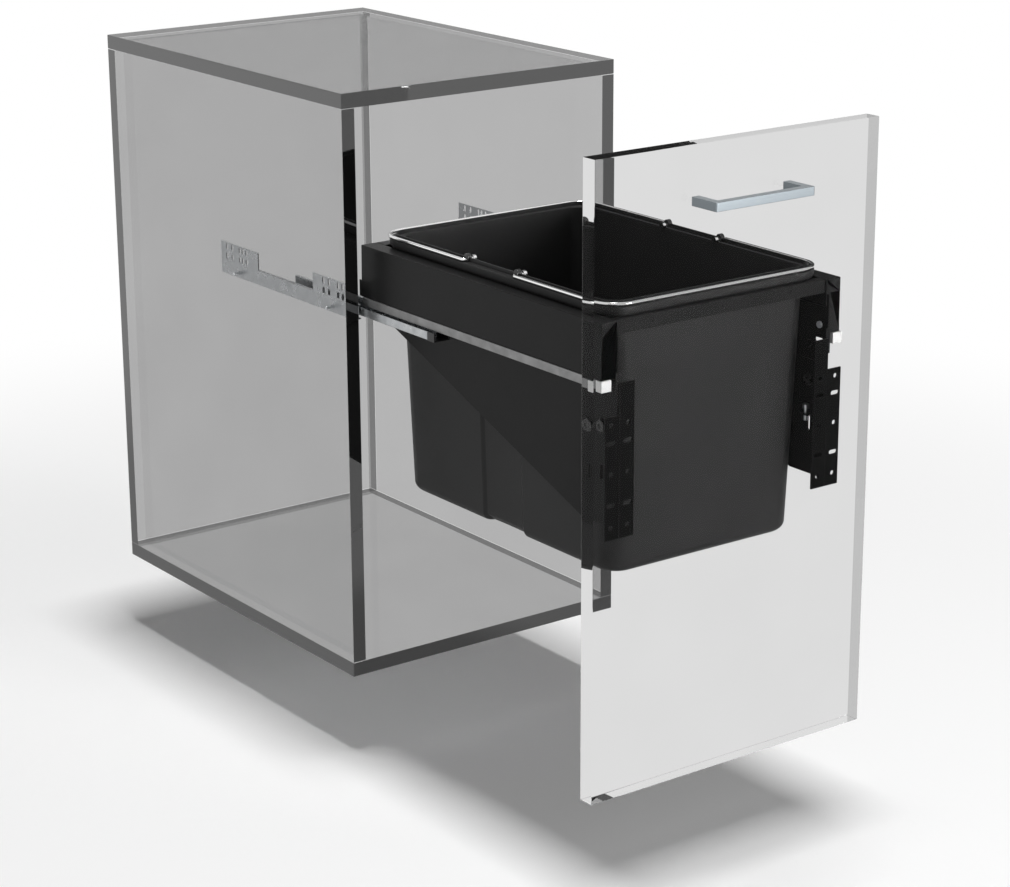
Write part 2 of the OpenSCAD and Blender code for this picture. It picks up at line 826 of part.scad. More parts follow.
// The bin's outside, or its inside when shrunk by the wall
module tub_form(wall) {
    foot = max(bin_foot_r - wall, 1);
    foot_size = body_size - 2 * [bin_lean + wall, bin_lean + wall];
    difference() {
        hull() {
            translate([0, 0, rim_top - slice + (wall > 0 ? rim_lip_h : 0)]) linear_extrude(slice)
                rounded_rect(body_size - 2 * [wall, wall], bin_corner_r - wall, $fn = 32);
            for (angle = [0:18:90]) {
                tuck = foot * (1 - cos(angle));
                translate([0, 0, bin_bottom + wall + foot * (1 - sin(angle))]) linear_extrude(slice)
                    rounded_rect(foot_size - 2 * [tuck, tuck], bin_corner_r - wall - tuck / 2, $fn = 32);
            }
        }
        for (side = [0, 1]) mirror([side, 0, 0]) side_recess(wall);
    }
}

// A shallow recess down each long side, and a notch at its foot
module side_recess(wall) {
    half = recess_w / 2 + wall;
    foot_x = body_size[0] / 2 - bin_lean;
    recess_x = foot_x - recess_depth - wall;
    notch_x = foot_x - notch_depth - wall;
    notch_top = notch_h + wall;
    recess_top = recess_h + wall;
    outside = foot_x + 2 * bin_lean;
    translate([0, 0, bin_bottom]) along_y(-half, half)
        polygon([[notch_x, -1], [notch_x, notch_top], [recess_x + wall_slope * notch_top, notch_top],
            [recess_x + wall_slope * recess_top, recess_top], [outside, recess_top], [outside, -1]]);
}

module rim_plate(inset, low, high) {
    translate([0, 0, low]) linear_extrude(high - low)
        rounded_rect(rim_size - 2 * [inset, inset], rim_corner_r - inset);
}

module rim_ring(inset, t, low, high) {
    difference() {
        rim_plate(inset, low, high);
        rim_plate(inset + t, low - eps, high + eps);
    }
}

module bin_tub() {
    color([0.2, 0.2, 0.2])
    in_bin() {
        difference() {
            union() {
                tub_form(0);
                rim_plate(0, rim_top - rim_t, rim_top);
            }
            tub_form(bin_wall);
        }
        rim_ring(0, rim_t, rim_top - rim_band_h, rim_top);
        rim_ring(foot_inset, foot_t, frame_top + running_gap, rim_top - 1);
        difference() {
            rim_ring(lip_inset, rim_lip_t, rim_top - 1, rim_top + rim_lip_h);
            clip_places() block([-clip_w, -clip_w / 2 - eps, 0], [clip_w, clip_w / 2 + eps, clip_h]);
        }
    }
}

module clip_places() {
    for (side = [0, 1], end = [-1, 1])
        mirror([side, 0, 0])
            translate([clip_x - clip_len / 2, hinge_y + end * hinge_pitch / 2, rim_top]) children();
}

module bag_wire_clips() {
    color([0.06, 0.06, 0.06])
    in_bin() clip_places() along_x(-clip_len / 2, clip_len / 2)
    difference() {
        union() {
            bar([-clip_w / 2, 0], [clip_w / 2, clip_h - clip_w / 2]);
            translate([0, clip_h - clip_w / 2]) circle(d = clip_w);
        }
        translate([0, wire_z - rim_top]) circle(d = wire_d + 2 * shaft_gap);
    }
}

// ---- Bag wires: a U whose open end is hinged in the clips

// A quarter bend about the origin, from +X round to +Y
module bend(r) rotate_extrude(angle = 90) translate([r, 0]) circle(d = wire_d);

module half_wire() {
    reach = wire_far + (hinge_y - hinge_pitch / 2);
    stub_end = wire_half_w - wire_end_r;
    // stub through the clip
    translate([wire_cap_x, 0, 0]) rotate([0, 90, 0]) cylinder(d = wire_d, h = stub_end - wire_cap_x);
    translate([stub_end, -wire_end_r, 0]) bend(wire_end_r);
    // leg along the rim
    translate([wire_half_w, -wire_end_r, 0]) rotate([90, 0, 0])
        cylinder(d = wire_d, h = reach - wire_end_r - wire_corner_r);
    translate([wire_half_w - wire_corner_r, -reach + wire_corner_r, 0]) rotate(-90) bend(wire_corner_r);
    // half of the far side
    translate([0, -reach, 0]) rotate([0, 90, 0]) cylinder(d = wire_d, h = wire_half_w - wire_corner_r);
}

module wire(hinge) {
    color("gainsboro")
    in_bin() translate([0, hinge, wire_z]) for (side = [0, 1]) mirror([side, 0, 0]) children();
}

module front_bag_wire() wire(hinge_y - hinge_pitch / 2) half_wire();
module rear_bag_wire() wire(hinge_y + hinge_pitch / 2) mirror([0, 1, 0]) half_wire();

module wire_cap() {
    translate([wire_cap_x - wire_cap_len, 0, 0]) rotate([0, 90, 0])
        cylinder(d = wire_cap_d, h = wire_cap_len);
}

module front_wire_caps() wire(hinge_y - hinge_pitch / 2) wire_cap();
module rear_wire_caps() wire(hinge_y + hinge_pitch / 2) wire_cap();

left_side_panel();
right_side_panel();
top_panel();
bottom_panel();
back_panel();
left_cabinet_rail();
right_cabinet_rail();
rail_screws();
left_outer_cage();
left_outer_balls();
right_outer_cage();
right_outer_balls();
left_middle_rail();
left_middle_stop();
right_middle_rail();
right_middle_stop();
left_inner_cage();
left_inner_balls();
right_inner_cage();
right_inner_balls();
left_drawer_rail();
left_rail_cap();
right_drawer_rail();
right_rail_cap();
left_frame_side();
right_frame_side();
frame_front_rail();
frame_rear_rail();
frame_rivets();
left_side_bracket();
right_side_bracket();
left_door_bracket();
right_door_bracket();
bracket_bolts();
frame_bolts();
left_tilt_cam();
right_tilt_cam();
left_height_screw();
right_height_screw();
door_panel();
handle();
handle_screws();
bin_tub();
bag_wire_clips();
front_bag_wire();
front_wire_caps();
rear_bag_wire();
rear_wire_caps();
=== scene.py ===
import json
import math

import bmesh
import bpy
from mathutils import Matrix, Vector

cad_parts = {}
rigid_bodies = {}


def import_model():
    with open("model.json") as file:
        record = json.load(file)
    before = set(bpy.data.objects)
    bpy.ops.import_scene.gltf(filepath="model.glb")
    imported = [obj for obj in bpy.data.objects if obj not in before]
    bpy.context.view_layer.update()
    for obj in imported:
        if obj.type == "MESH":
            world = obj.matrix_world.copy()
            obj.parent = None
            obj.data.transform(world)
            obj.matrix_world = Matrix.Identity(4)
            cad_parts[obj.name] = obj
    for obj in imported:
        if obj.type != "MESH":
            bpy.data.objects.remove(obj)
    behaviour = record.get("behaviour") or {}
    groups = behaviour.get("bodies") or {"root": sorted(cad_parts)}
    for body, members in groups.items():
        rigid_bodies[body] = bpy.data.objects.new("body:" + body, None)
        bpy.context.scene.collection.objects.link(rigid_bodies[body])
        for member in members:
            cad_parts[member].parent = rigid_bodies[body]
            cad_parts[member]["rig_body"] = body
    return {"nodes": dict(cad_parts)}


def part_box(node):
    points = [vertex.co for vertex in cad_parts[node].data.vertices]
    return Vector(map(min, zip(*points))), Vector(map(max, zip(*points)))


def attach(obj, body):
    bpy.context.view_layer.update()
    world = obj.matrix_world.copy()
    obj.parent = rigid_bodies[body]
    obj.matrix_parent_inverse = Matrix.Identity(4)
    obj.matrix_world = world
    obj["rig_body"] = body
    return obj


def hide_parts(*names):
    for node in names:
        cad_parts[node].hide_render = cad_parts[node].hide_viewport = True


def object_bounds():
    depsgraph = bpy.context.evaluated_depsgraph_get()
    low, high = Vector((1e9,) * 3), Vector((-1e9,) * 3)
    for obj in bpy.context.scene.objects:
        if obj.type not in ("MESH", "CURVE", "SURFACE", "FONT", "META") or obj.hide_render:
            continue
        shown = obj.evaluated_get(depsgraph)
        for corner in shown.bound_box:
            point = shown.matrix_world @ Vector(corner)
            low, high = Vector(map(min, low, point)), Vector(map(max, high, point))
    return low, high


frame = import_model()
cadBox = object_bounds()
nodes = frame["nodes"]
mm = 0.001
print("frame loaded:", len(nodes), "nodes")


# ---- Materials: small helpers

def linear(hexColour):
    # sRGB hex to the linear colour that the shaders take
    channels = [int(hexColour[i:i + 2], 16) / 255 for i in (1, 3, 5)]
    return tuple(c / 12.92 if c <= 0.04045 else ((c + 0.055) / 1.055) ** 2.4 for c in channels) + (1.0,)


def addNode(tree, kind, settings=None, links=None):
    # a key is a socket's name or number, or one of the node's own settings
    node = tree.nodes.new("ShaderNode" + kind)
    for key, value in (settings or {}).items():
        if isinstance(key, int) or key in node.inputs:
            node.inputs[key].default_value = value
        else:
            setattr(node, key, value)
    for key, socket in (links or {}).items():
        tree.links.new(socket, node.inputs[key])
    return node


def emptyMaterial(name):
    material = bpy.data.materials.new(name)
    material.use_nodes = True
    material.node_tree.nodes.clear()
    return material, material.node_tree


def toOutput(tree, shader):
    addNode(tree, "OutputMaterial", links={"Surface": shader})


def noise(tree, size, stretch=(1, 1, 1), detail=2.0):
    # noise whose features are about size metres across, in the piece's own frame
    place = addNode(tree, "TexCoord").outputs["Object"]
    spread = addNode(tree, "Mapping", {"Scale": [s / size for s in stretch]}, {"Vector": place})
    blots = addNode(tree, "TexNoise", {"Scale": 1.0, "Detail": detail},
                    {"Vector": spread.outputs["Vector"]})
    return blots.outputs["Fac"]


def ramp(tree, factor, low, high):
    # a number that runs from low to high across the noise's usual range
    return addNode(tree, "MapRange", {"From Min": 0.3, "From Max": 0.7, "To Min": low, "To Max": high},
                   {"Value": factor}).outputs["Result"]


def blendColour(tree, factor, first, second):
    # a Mix node's sockets 6 and 7 are its two colours, and 2 and 3 its two numbers
    return addNode(tree, "Mix", {"data_type": "RGBA", 6: linear(first), 7: linear(second)},
                   {"Factor": factor}).outputs[2]


def bump(tree, height, depth):
    relief = addNode(tree, "Bump", {"Strength": 1.0, "Distance": depth}, {"Height": height})
    return relief.outputs["Normal"]


# ---- Materials: the finishes

# real acrylic has an IOR of 1.49; the low one keeps what stands behind the sheets in its place
acrylicSettings = {"ior": 1.1, "cloudSize": 120 * mm}


def acrylic(tree, tint, shadow):
    # clear, with a faint cloudiness in its tint; the shadow colour is what lamps send through each face
    cloud = ramp(tree, noise(tree, acrylicSettings["cloudSize"]), 0.0, 1.0)
    colour = blendColour(tree, cloud, tint[0], tint[1])
    sheet = addNode(tree, "BsdfPrincipled",
                    {"Roughness": 0.0, "IOR": acrylicSettings["ior"], "Transmission Weight": 1.0},
                    {"Base Color": colour})
    passed = addNode(tree, "BsdfTransparent", {"Color": linear(shadow)})
    shaded = addNode(tree, "LightPath").outputs["Is Shadow Ray"]
    return addNode(tree, "MixShader", links={0: shaded, 1: sheet.outputs[0], 2: passed.outputs[0]})


def clearAcrylic(name, tint, shadow):
    # cast acrylic sheet, as glossy on its faces as it left the glass it was cast on
    material, tree = emptyMaterial(name)
    toOutput(tree, acrylic(tree, tint, shadow).outputs[0])
    return material


def clearPolycarbonate():
    # stands in for the zinc of the handle's screws and hides them, as zinc would show in the clear door
    material, tree = emptyMaterial("clearPolycarbonateScrew")
    cloud = ramp(tree, noise(tree, 4 * mm), 0.0, 1.0)
    colour = blendColour(tree, cloud, "#FFFFFF", "#FEFEFE")
    passed = addNode(tree, "BsdfTransparent", links={"Color": colour})
    toOutput(tree, passed.outputs[0])
    return material


def polishedEdge():
    # sheet edges lacquered black and polished: from outside a dark mirror with the saw's faint ripple,
    # from within the sheet a smoky clear; the IOR is above a lacquer's 1.5 for the strength of the mirror
    material, tree = emptyMaterial("lacqueredEdge")
    ripple = noise(tree, 6 * mm, detail=1.0)
    edge = addNode(tree, "BsdfPrincipled", {"Base Color": linear("#0A0A0A"), "IOR": 1.95},
                   {"Roughness": ramp(tree, ripple, 0.015, 0.03)})
    within = acrylic(tree, ("#727272", "#6E6E6E"), "#C0C0C0")
    side = addNode(tree, "NewGeometry").outputs["Backfacing"]
    mixed = addNode(tree, "MixShader", links={0: side, 1: edge.outputs[0], 2: within.outputs[0]})
    toOutput(tree, mixed.outputs[0])
    return material


def zincPlate(name, light, dark, roughness):
    # electro-galvanised strip: a bright metal with soft cloudy patches and rolling lines along Y,
    # drawn wider apart than the real ones so that they show
    material, tree = emptyMaterial(name)
    patches = noise(tree, 14 * mm)
    lines = noise(tree, 0.9 * mm, (1, 0.02, 1), 1.0)
    metal = addNode(tree, "BsdfPrincipled", {"Metallic": 1.0}, {
        "Base Color": blendColour(tree, ramp(tree, patches, 0.0, 1.0), light, dark),
        "Roughness": ramp(tree, patches, roughness - 0.06, roughness + 0.06),
        "Normal": bump(tree, lines, 0.01 * mm)})
    toOutput(tree, metal.outputs[0])
    return material


def brightMetal(name, colour, roughness):
    # chrome plate or ground steel: clean, with a light haze that comes and goes
    material, tree = emptyMaterial(name)
    haze = noise(tree, 3 * mm)
    metal = addNode(tree, "BsdfPrincipled", {"Metallic": 1.0, "Base Color": linear(colour)},
                    {"Roughness": ramp(tree, haze, roughness * 0.7, roughness * 1.3)})
    toOutput(tree, metal.outputs[0])
    return material


def satinAluminium():
    # extruded bar, brushed along its length and clear anodised: cool grey with fine lines along X,
    # drawn at half a millimetre as finer ones don't show
    material, tree = emptyMaterial("satinAnodisedAluminium")
    lines = noise(tree, 0.5 * mm, (0.02, 1, 1), 2.0)
    metal = addNode(tree, "BsdfPrincipled", {"Metallic": 1.0}, {
        "Base Color": blendColour(tree, lines, "#8F969B", "#82898D"),
        "Roughness": ramp(tree, lines, 0.32, 0.42),
        "Normal": bump(tree, lines, 0.01 * mm)})
    toOutput(tree, metal.outputs[0])
    return material


def powderCoat():
    # black polyester powder on sheet steel: half gloss over a shallow orange peel
    material, tree = emptyMaterial("blackPowderCoat")
    peel = noise(tree, 1.6 * mm, detail=1.0)
    tone = noise(tree, 60 * mm)
    coat = addNode(tree, "BsdfPrincipled", {"IOR": 1.5, "Specular IOR Level": 0.12}, {
        "Base Color": blendColour(tree, ramp(tree, tone, 0.0, 1.0), "#141414", "#181818"),
        "Roughness": ramp(tree, peel, 0.34, 0.42),
        "Normal": bump(tree, peel, 0.015 * mm)})
    toOutput(tree, coat.outputs[0])
    return material


def mouldedPlastic(name, light, dark, grain, roughness, sheen=0.5):
    # injection moulded: an even colour under the spark-eroded grain of its mould, which is drawn
    # coarser than the real one so that it shows
    material, tree = emptyMaterial(name)
    texture = noise(tree, grain, detail=3.0)
    tone = noise(tree, 90 * mm)
    plastic = addNode(tree, "BsdfPrincipled", {"IOR": 1.5, "Specular IOR Level": sheen}, {
        "Base Color": blendColour(tree, ramp(tree, tone, 0.0, 1.0), light, dark),
        "Roughness": ramp(tree, texture, roughness - 0.05, roughness + 0.05),
        "Normal": bump(tree, texture, 0.004 * mm)})
    toOutput(tree, plastic.outputs[0])
    return material


# the five sheets are one grey acrylic; each is tinted to the brightness it shows from the camera's side,
# so the top is a little darker than the near sheet and the far sheets and the base are much darker:
# painted shade
finishes = {
    "nearPanel": clearAcrylic("greyAcrylicNear", ("#EEEEEE", "#EBEBEB"), "#707070"),
    "topPanel": clearAcrylic("greyAcrylicTop", ("#E7E7E7", "#E4E4E4"), "#585858"),
    "farPanel": clearAcrylic("greyAcrylicFarPaintedShade", ("#B5B5B5", "#B2B2B2"), "#606060"),
    "basePanel": clearAcrylic("greyAcrylicBasePaintedShade", ("#A8A8A8", "#A5A5A5"), "#505050"),
    "door": clearAcrylic("clearAcrylicDoor", ("#C0C0C0", "#BDBDBD"), "#F4F4F4"),
    "doorBack": clearAcrylic("clearAcrylicBack", ("#FFFFFF", "#FDFDFD"), "#FAFAFA"),
    "clearScrew": clearPolycarbonate(),
    "edge": polishedEdge(),
    "zinc": zincPlate("zincPlatedRail", "#AAACAE", "#A0A2A4", 0.3),
    "slideZinc": zincPlate("zincPlatedSlide", "#B8BABC", "#A2A5A7", 0.3),
    "greyZinc": zincPlate("greyZincRail", "#8C8C8C", "#7F7F7F", 0.42),
    "cage": zincPlate("tinnedCage", "#C2C4C4", "#A5A7A8", 0.35),
    "ball": brightMetal("groundSteelBall", "#D8DADC", 0.08),
    "screw": zincPlate("zincPlatedScrew", "#DADCDE", "#BEC1C3", 0.3),
    "bolt": zincPlate("dullZincBolt", "#E0E2E4", "#CDD0D2", 0.6),
    "cam": brightMetal("blackenedSteelCam", "#4A4A4A", 0.3),
    "chrome": brightMetal("chromedWire", "#EDEDED", 0.07),
    "aluminium": satinAluminium(),
    "powder": powderCoat(),
    "clip": mouldedPlastic("blackPolyamide", "#141414", "#191919", 0.8 * mm, 0.35),
    "cap": mouldedPlastic("whiteAcetal", "#FAFAF9", "#F5F5F4", 0.8 * mm, 0.35),
    "bin": mouldedPlastic("darkPolypropylene", "#212121", "#252525", 1.2 * mm, 0.46, 0.2),
}
print("finishes made:", len(finishes))


# ---- Meshes: small helpers

def finishPiece(name, form, look, angle=35):
    # turns a bmesh into an object with a finish, smooth up to the given angle
    mesh = bpy.data.meshes.new(name)
    form.to_mesh(mesh)
    form.free()
    for polygon in mesh.polygons:
        polygon.use_smooth = True
    mesh.set_sharp_from_angle(angle=math.radians(angle))
    piece = bpy.data.objects.new(name, mesh)
    bpy.context.scene.collection.objects.link(piece)
    for key in (look if isinstance(look, (list, tuple)) else [look]):
        mesh.materials.append(finishes[key])
    return piece


def weightNormals(piece):
    piece.modifiers.new("evenShading", "WEIGHTED_NORMAL").keep_sharp = True


def pieceName(node):
    # left_side_panel becomes leftSidePanel
    words = node.split("_")
    return words[0] + "".join(word.capitalize() for word in words[1:])


def roundEdges(form, edges, radius, segments):
    bmesh.ops.bevel(form, geom=edges, offset=radius, offset_type="OFFSET", segments=segments, profile=0.5,
                    affect="EDGES")


softening = {"flat": 0.5, "corner": 50, "fold": 60}  # degrees: what counts as flat, as a corner, as a fold


def softened(node, look, slot, edge, bend=0.0, wide=5 * mm):
    # a copy of a sheet or turned part with its arrises broken, and its folds rounded
    # where both of their faces are wide
    form = bmesh.new()
    form.from_mesh(nodes[node].data)
    bmesh.ops.remove_doubles(form, verts=form.verts, dist=1e-6)
    flat = math.radians(softening["flat"])
    bmesh.ops.dissolve_limit(form, angle_limit=flat, verts=form.verts, edges=form.edges)

    def corners(sharp):
        return [e for e in form.edges if e.is_manifold and e.calc_face_angle(0) > math.radians(sharp)]

    def narrowest(e):
        return min(f.calc_area() / max(e.calc_length(), 1e-9) for f in e.link_faces)

    def isFold(e):
        return e.is_convex and e.calc_length() > 2 * wide and narrowest(e) > wide

    if bend:
        roundEdges(form, [e for e in corners(softening["fold"]) if isFold(e)], bend, 4)
    roundEdges(form, corners(softening["corner"]), edge, 2)
    piece = finishPiece(pieceName(node), form, look)
    weightNormals(piece)
    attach(piece, nodes[node]["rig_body"])
    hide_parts(node)


def addBox(form, low, high, radius):
    # a box with rounded edges
    made = bmesh.ops.create_cube(form, size=1.0)
    size = Vector(high) - Vector(low)
    centre = (Vector(high) + Vector(low)) / 2
    bmesh.ops.scale(form, vec=size, verts=made["verts"])
    bmesh.ops.translate(form, vec=centre, verts=made["verts"])
    roundEdges(form, list({e for v in made["verts"] for e in v.link_edges}), radius, 2)


# ---- Camera: a long lens, looking down over the drawer's left front corner

cameraSettings = {
    "place": (-1.8663, -2.8695, 1.2605),  # metres
    "turn": -36.23, "down": 17.37, "roll": -0.27,  # degrees
    "lens": 96.2,  # millimetres
    "reach": 100,  # how far it sees, metres
}


def makeCamera():
    c = cameraSettings
    data = bpy.data.cameras.new("camera")
    data.lens = c["lens"]
    data.clip_end = c["reach"]
    camera = bpy.data.objects.new("camera", data)
    camera.matrix_world = (
        Matrix.Translation(c["place"])
        @ Matrix.Rotation(math.radians(c["turn"]), 4, "Z")
        @ Matrix.Rotation(math.radians(90 - c["down"]), 4, "X")
        @ Matrix.Rotation(math.radians(c["roll"]), 4, "Z"))
    bpy.context.scene.collection.objects.link(camera)
    bpy.context.scene.camera = camera


makeCamera()
print("camera placed")


# ---- Cabinet: five sheets with lacquered edges

panelSettings = {
    "arris": 0.5 * mm,
    "seam": 0.06 * mm,  # how far each sheet's faces stand back from the next sheet's
    "probe": 1 * mm,  # how far past its edge a sheet feels for its neighbour
    "touch": 0.5 * mm,  # and how near it has to come
    # the far sheets and the base take darker tints of the same acrylic, which is painted shade
    "looks": {"left_side_panel": "nearPanel", "right_side_panel": "farPanel", "top_panel": "topPanel",
              "bottom_panel": "basePanel", "back_panel": "farPanel"},
}


def makePanel(node, look):
    low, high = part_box(node)
    size = high - low
    thin = min(range(3), key=lambda i: size[i])
    gap = Vector([panelSettings["seam"]] * 3)
    form = bmesh.new()
    addBox(form, low + gap, high - gap, panelSettings["arris"])
    form.normal_update()
    middle = (low + high) / 2
    others = [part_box(other) for other in panelSettings["looks"] if other != node]

    def glued(axis, sign):
        # whether that side of the sheet lies against another sheet
        spot = middle.copy()
        spot[axis] += sign * (size[axis] / 2 + panelSettings["probe"])
        slack = panelSettings["touch"]
        return any(all(a[i] - slack < spot[i] < b[i] + slack for i in range(3)) for a, b in others)

    edgeSides = [(axis, sign) for axis in range(3) for sign in (-1, 1) if axis != thin]
    covered = {side for side in edgeSides if glued(*side)}
    joints = []  # faces to delete, so that no dark face stands between two glued sheets
    for face in form.faces:
        # the broken arrises count with the sides that they join
        sides = [(axis, 1 if face.normal[axis] > 0 else -1) for axis in range(3)
                 if axis != thin and abs(face.normal[axis]) > 0.3]
        face.material_index = 0 if abs(face.normal[thin]) > 0.5 else 1
        if any(side in covered for side in sides):
            joints.append(face)
    bmesh.ops.delete(form, geom=joints, context="FACES")
    piece = finishPiece(pieceName(node), form, [look, "edge"])
    weightNormals(piece)
    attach(piece, "cabinet")
    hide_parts(node)


for node, look in panelSettings["looks"].items():
    makePanel(node, look)
print("cabinet panels made")


# ---- Door: one clear sheet, tinted on every side but its back

doorSettings = {"arris": 1.0 * mm}


def makeDoor():
    low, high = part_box("door_panel")
    form = bmesh.new()
    addBox(form, low, high, doorSettings["arris"])
    form.normal_update()
    for face in form.faces:
        face.material_index = 1 if face.normal.y > 0.9 else 0  # the back alone is untinted
    piece = finishPiece("doorPanel", form, ["door", "doorBack"])
    weightNormals(piece)
    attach(piece, "drawer")
    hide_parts("door_panel")


makeDoor()
print("door made")


# ---- Bin: a deep tub whose rim hangs in the frame

binSettings = {
    "length": 432 * mm, "halfWidth": 153 * mm, "depth": 310 * mm, "ledge": 10.8 * mm,
    "rimCorner": 30 * mm, "tightestRimCorner": 17 * mm, "tightestWallCorner": 4 * mm,
    "lean": 9.3 * mm, "wall": 2.5 * mm, "wallCorner": 25 * mm, "foot": 11 * mm, "lipHeight": 5 * mm,
    # the recess in each long wall: its top is a share of the depth, and a notch at its foot goes deeper
    "recessWidth": 75 * mm, "recessDepth": 3 * mm, "recessTop": 0.74,
    "notchDepth": 7 * mm, "notchHeight": 8 * mm, "notchSoft": 3 * mm, "soft": 5 * mm,
    # where the rim takes over: below the ledge's underside outside, and below its top inside
    "outerEnd": 1.2 * mm, "innerEnd": 1.0 * mm,
    "cornerSteps": 10, "wallRows": 26, "footRows": 6, "middleStrip": 12 * mm,
    # the rim in section: how far in from its edge, and how far above its ledge, in millimetres
    "rim": [
        (12.9, -0.1), (12.4, 0), (9.6, 0),  # out from the inside of the wall
        (9.1, 0.2), (9, 0.6), (9, 4.3), (8.8, 4.8), (8.3, 5),  # up the lip
        (7.7, 5), (7.2, 4.8), (7, 4.3), (7, 0.6), (6.9, 0.2), (6.4, 0),  # and down its other side
        (1.4, 0), (0.6, -0.25), (0.15, -0.8), (0, -1.6), (0, -7.5),  # along the ledge and down the skirt
        (0.2, -8), (0.7, -8.2), (1.9, -8.2), (2.4, -8.4),  # in under its hem
        (2.5, -8.9), (2.5, -10.4), (2.7, -10.9), (3.1, -11),  # down the rib within it
        (3.9, -11), (4.3, -10.9), (4.5, -10.4), (4.5, -3.6),  # and back up
        (4.8, -2.8), (5.6, -2.5), (9.8, -2.5), (10.6, -2.8), (10.8, -3.6),  # under the ledge to the wall
    ],
}


def smoothStep(low, high, value):
    t = min(max((value - low) / (high - low), 0.0), 1.0)
    return t * t * (3 - 2 * t)


def makeBin():
    b = binSettings
    low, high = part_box("bin_tub")
    centreY = (low.y + high.y) / 2
    ledgeZ = high.z - b["lipHeight"]
    bottomZ = ledgeZ - b["depth"]
    halfX, halfY = b["halfWidth"], b["length"] / 2
    form = bmesh.new()
    recessHalf = b["recessWidth"] / 2
    softYs = [recessHalf + b["soft"] * k / 4 for k in range(-3, 3)]
    strip = b["middleStrip"]
    sideYs = sorted([-y for y in softYs] + [-strip, 0.0, strip] + softYs)
    steps = b["cornerSteps"]

    def sunk(y, height):
        # how far the long wall is pushed in there
        across = 1 - smoothStep(recessHalf - b["soft"], recessHalf + b["soft"] / 2, abs(y))
        top = b["recessTop"] * b["depth"]
        recess = b["recessDepth"] * (1 - smoothStep(top - b["soft"], top + b["soft"], height))
        notchTop = b["notchHeight"]
        deeper = b["notchDepth"] - b["recessDepth"]
        notch = deeper * (1 - smoothStep(notchTop - b["notchSoft"], notchTop + b["notchSoft"], height))
        return across * (recess + notch)

    def ring(hx, hy, r, z, recessed):
        # one closed loop around the bin: a rounded rectangle of half sizes hx and hy with corners of r
        points = []
        for sx, sy, start in ((1, 1, 0), (-1, 1, 90), (-1, -1, 180), (1, -1, 270)):
            for k in range(steps + 1):
                a = math.radians(start + 90 * k / steps)
                points.append((sx * (hx - r) + r * math.cos(a), sy * (hy - r) + r * math.sin(a)))
            if start in (90, 270):  # a long wall follows
                ys = reversed(sideYs) if start == 90 else sideYs
                for y in ys:
                    push = sunk(y, z - bottomZ) if recessed else 0.0
                    points.append((sx * (hx - push), y))
        return [form.verts.new((x, y + centreY, z)) for x, y in points]

    def skin(rings):
        for first, second in zip(rings, rings[1:]):
            count = len(first)
            for k in range(count):
                form.faces.new((first[k], first[(k + 1) % count], second[(k + 1) % count], second[k]))

    bodyX, bodyY = halfX - b["ledge"], halfY - b["ledge"]

    def wallRing(height, wall, tuck=0.0):
        lean = b["lean"] * (1 - height / b["depth"])
        inset = lean + wall + tuck
        corner = max(b["wallCorner"] - wall - tuck / 2, b["tightestWallCorner"])
        return ring(bodyX - inset, bodyY - inset, corner, bottomZ + height, True)

    def rows(wall, foot):
        # the rounded foot from the bottom up: each row's height, and how far it is tucked in
        for k in range(b["footRows"] + 1):
            a = math.pi / 2 * k / b["footRows"]
            yield wall + foot * (1 - math.cos(a)), foot * (1 - math.sin(a))

    outer, inner = [], []
    skins = ((0.0, b["wall"] + b["outerEnd"], outer), (b["wall"], b["innerEnd"], inner))
    for wall, end, store in skins:
        foot = b["foot"] - wall
        for height, tuck in rows(wall, foot):
            store.append(wallRing(height, wall, tuck))
        top = b["depth"] - end
        start = wall + foot
        marks = [b["recessTop"] * b["depth"] + s * b["soft"] for s in (-1, -0.5, 0, 0.5, 1)]
        heights = [start + (top - start) * k / b["wallRows"] for k in range(1, b["wallRows"] + 1)]
        for height in sorted(heights + marks):
            store.append(wallRing(height, wall))
    rim = []
    for inward, up in b["rim"]:
        i = inward * mm
        corner = max(b["rimCorner"] - i, b["tightestRimCorner"])
        rim.append(ring(halfX - i, halfY - i, corner, ledgeZ + up * mm, False))
    skin(outer)
    skin(list(reversed(inner)))
    skin([inner[-1]] + rim + [outer[-1]])
    form.faces.new(list(reversed(outer[0])))
    form.faces.new(inner[0])
    bmesh.ops.recalc_face_normals(form, faces=form.faces)
    piece = finishPiece("binTub", form, "bin", 40)
    weightNormals(piece)
    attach(piece, "bin")
    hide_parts("bin_tub")


makeBin()
print("bin made")


# ---- Frame and brackets: folded sheet steel under black powder

steelSettings = {
    "frame": {"edge": 0.2 * mm, "bend": 1.0 * mm},
    "brackets": {"edge": 0.25 * mm, "bend": 0.8 * mm},
    "heads": {"edge": 0.25 * mm},
}

for node in ("left_frame_side", "right_frame_side", "frame_front_rail", "frame_rear_rail"):
    softened(node, "powder", "black_steel", **steelSettings["frame"])
for node in ("left_side_bracket", "right_side_bracket", "left_door_bracket", "right_door_bracket"):
    softened(node, "powder", "black_steel", **steelSettings["brackets"])
for node in ("frame_rivets", "frame_bolts"):
    softened(node, "powder", "black_steel", **steelSettings["heads"])
print("frame and brackets made")


# ---- Runners

runnerSettings = {"arris": 0.2 * mm, "bend": 0.8 * mm, "narrowLeg": 3 * mm, "mouldedEdge": 0.4 * mm}

